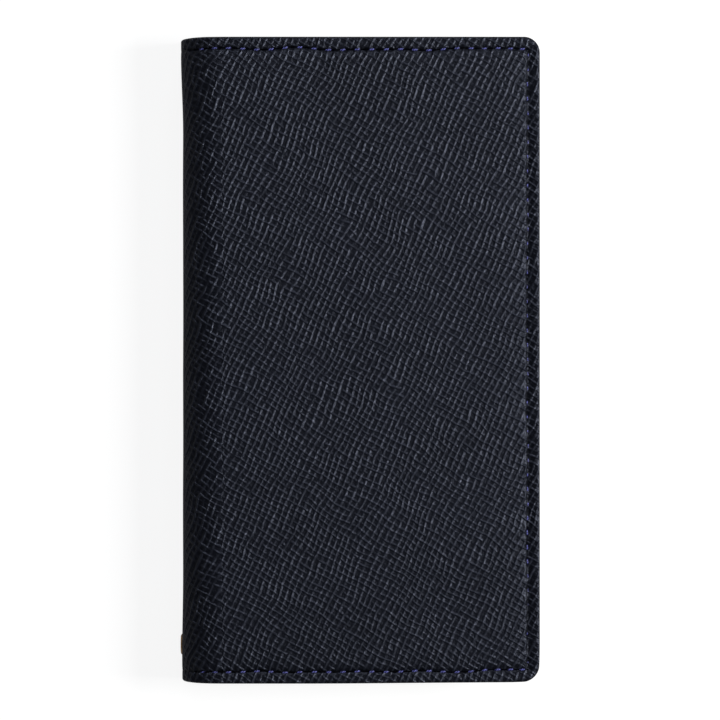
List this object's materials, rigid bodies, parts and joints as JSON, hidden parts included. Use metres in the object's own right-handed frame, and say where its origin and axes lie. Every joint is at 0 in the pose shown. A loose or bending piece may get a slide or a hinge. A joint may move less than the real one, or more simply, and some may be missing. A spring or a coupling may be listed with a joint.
{
  "type": "phone wallet case",
  "caption": "Folio case for a phone: padded leather cover that folds on a stiff spine, card slots inside, moulded phone shell on the back cover and a brass eyelet at the spine.",
  "frame": {"origin": "centre of the closed case's box, on the table face of the back cover", "axes": "+X from the spine to the fore edge, +Y along the phone to its top, +Z from the back cover to the front cover"},
  "size_m": [0.0858, 0.154, 0.0193],
  "materials": {
    "cover_leather": "satin",
    "pocket_leather": "satin",
    "lining": "matte",
    "board": "matte",
    "foam": "matte",
    "thread": "satin",
    "shell": "satin",
    "adhesive": "satin",
    "brass": "satin",
    "steel": "satin",
    "magnet": "satin"
  },
  "bodies": {
    "back_cover": {"back_outer_leather": "cover_leather", "back_board": "board", "back_lining": "lining", "back_stitch_thread": "thread", "shell_adhesive": "adhesive", "phone_shell": "shell", "shell_keeper_upper": "steel", "shell_keeper_lower": "steel"},
    "spine": {"spine_outer_leather": "cover_leather", "upper_fold_leather": "cover_leather", "lower_fold_leather": "cover_leather", "spine_board": "board", "spine_lining": "lining", "spine_eyelet": "brass", "eyelet_washer": "brass"},
    "front_cover": {"front_outer_leather": "cover_leather", "front_padding": "foam", "front_board": "board", "front_magnet_upper": "magnet", "front_magnet_lower": "magnet", "front_lining": "lining", "bill_pocket_panel": "pocket_leather", "card_leaf_1": "pocket_leather", "card_leaf_2": "pocket_leather", "card_leaf_3": "pocket_leather", "front_stitch_thread": "thread"}
  },
  "joints": [
    {"name": "spine_fold", "type": "hinge", "parent": "back_cover", "child": "spine", "pos_m": [-0.0409, 0, 0.001], "axis": [0, -1, 0], "range_deg": [0, 90]},
    {"name": "cover_fold", "type": "hinge", "parent": "spine", "child": "front_cover", "pos_m": [-0.0409, 0, 0.0183], "axis": [0, -1, 0], "range_deg": [0, 90]}
  ]
}
